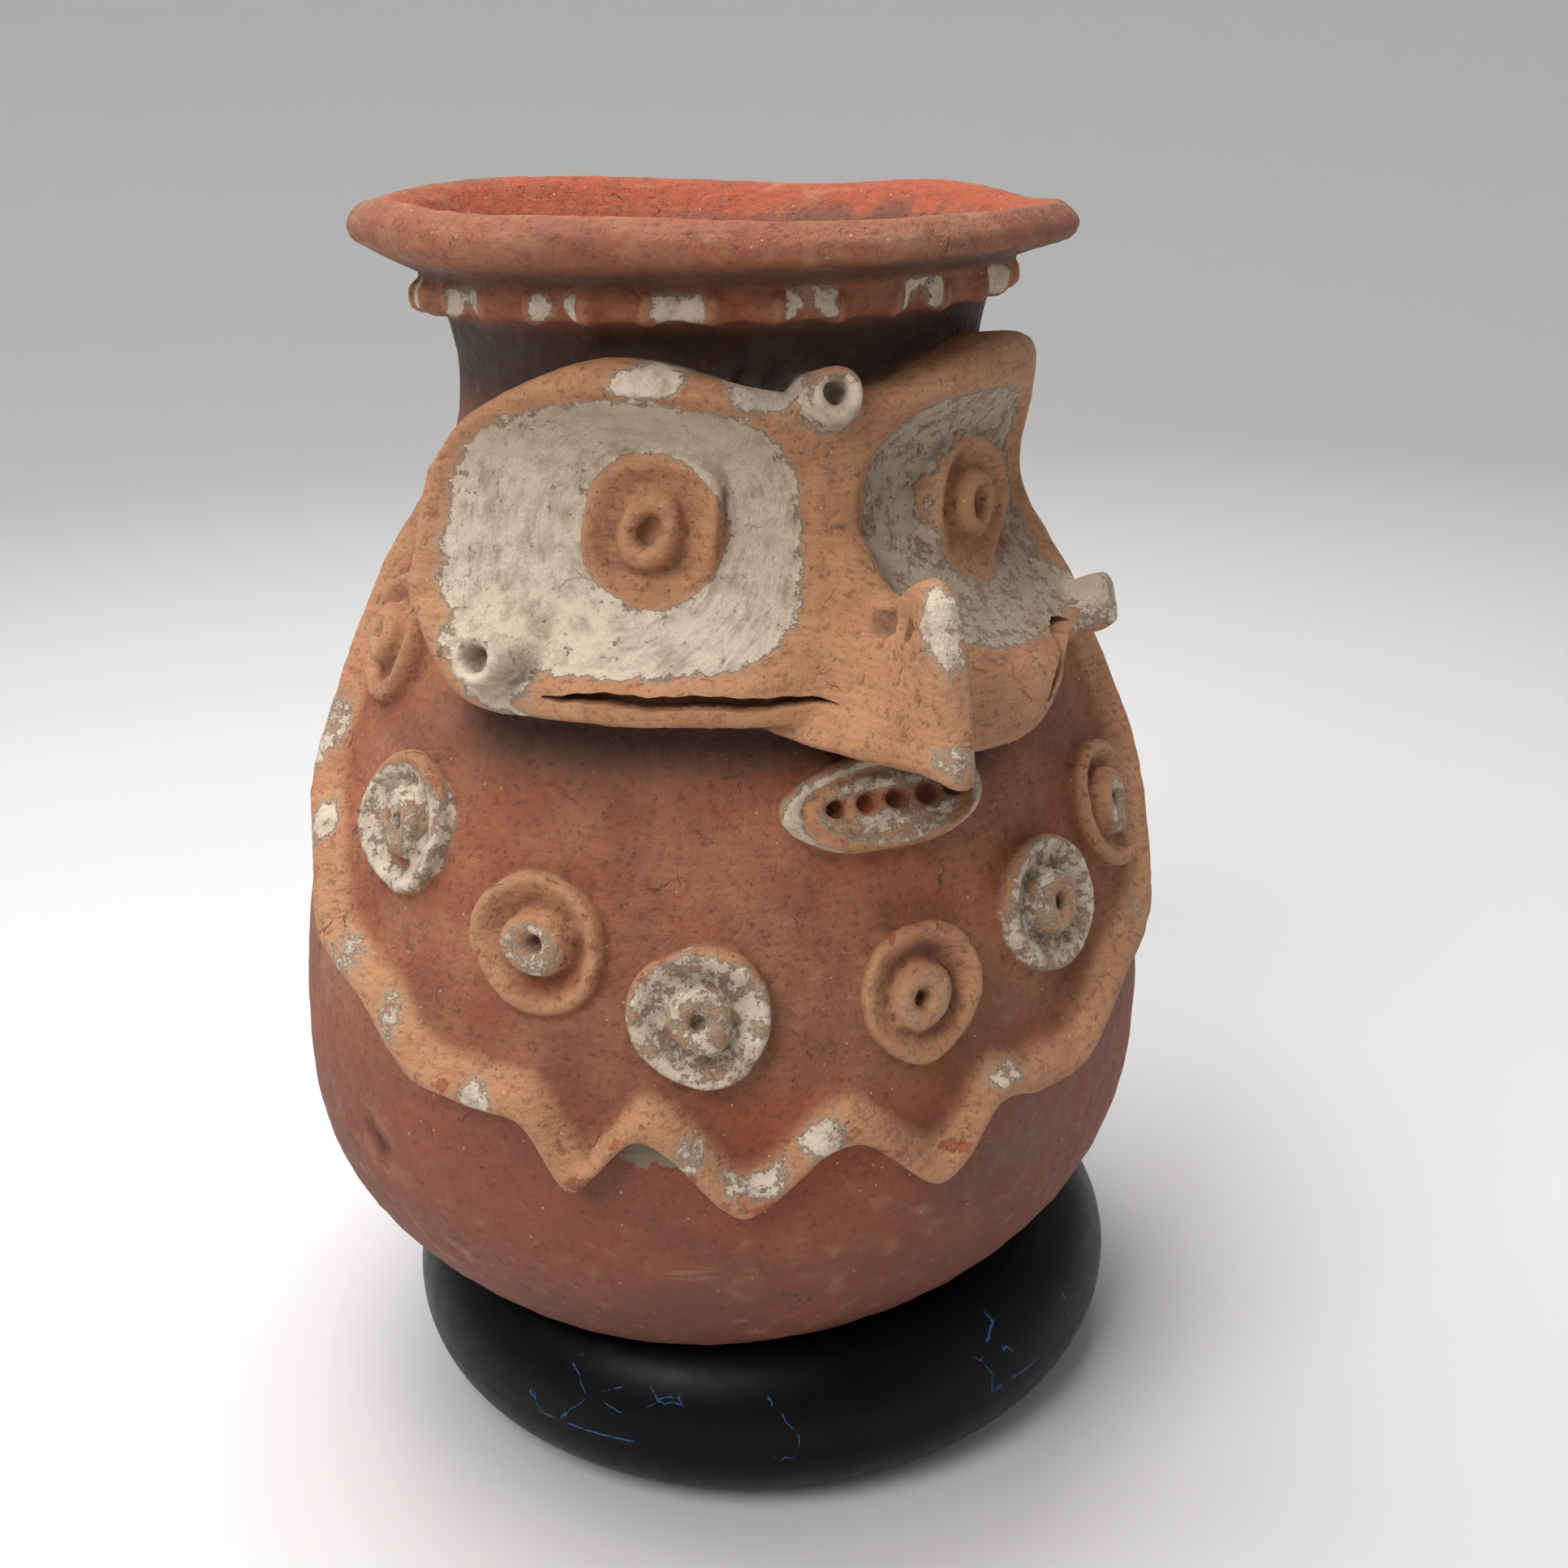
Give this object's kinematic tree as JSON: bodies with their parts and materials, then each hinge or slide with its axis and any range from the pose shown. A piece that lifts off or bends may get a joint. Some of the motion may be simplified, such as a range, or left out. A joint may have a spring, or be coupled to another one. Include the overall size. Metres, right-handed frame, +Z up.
{
  "type": "sago storage jar on a support ring",
  "caption": "Tall fired-clay storage jar with a modelled bird-beaked face mask, discs and a wavy ledge, held upright in a soft black ring.",
  "frame": {"origin": "on the floor, under the middle of the whole object's box", "axes": "+Z up through the mouth of the jar; the face and beak look along -Y"},
  "size_m": [0.4296, 0.47, 0.6024],
  "materials": {
    "fired_clay": "low-fired terracotta with red slip on the body and rim, and flaking white lime paint in the eyes, mouth and discs",
    "ring_skin": "satin black coating over blue, with fine blue cracks"
  },
  "bodies": {
    "root": {"jar": "fired_clay", "support_ring": "ring_skin"}
  },
  "joints": []
}
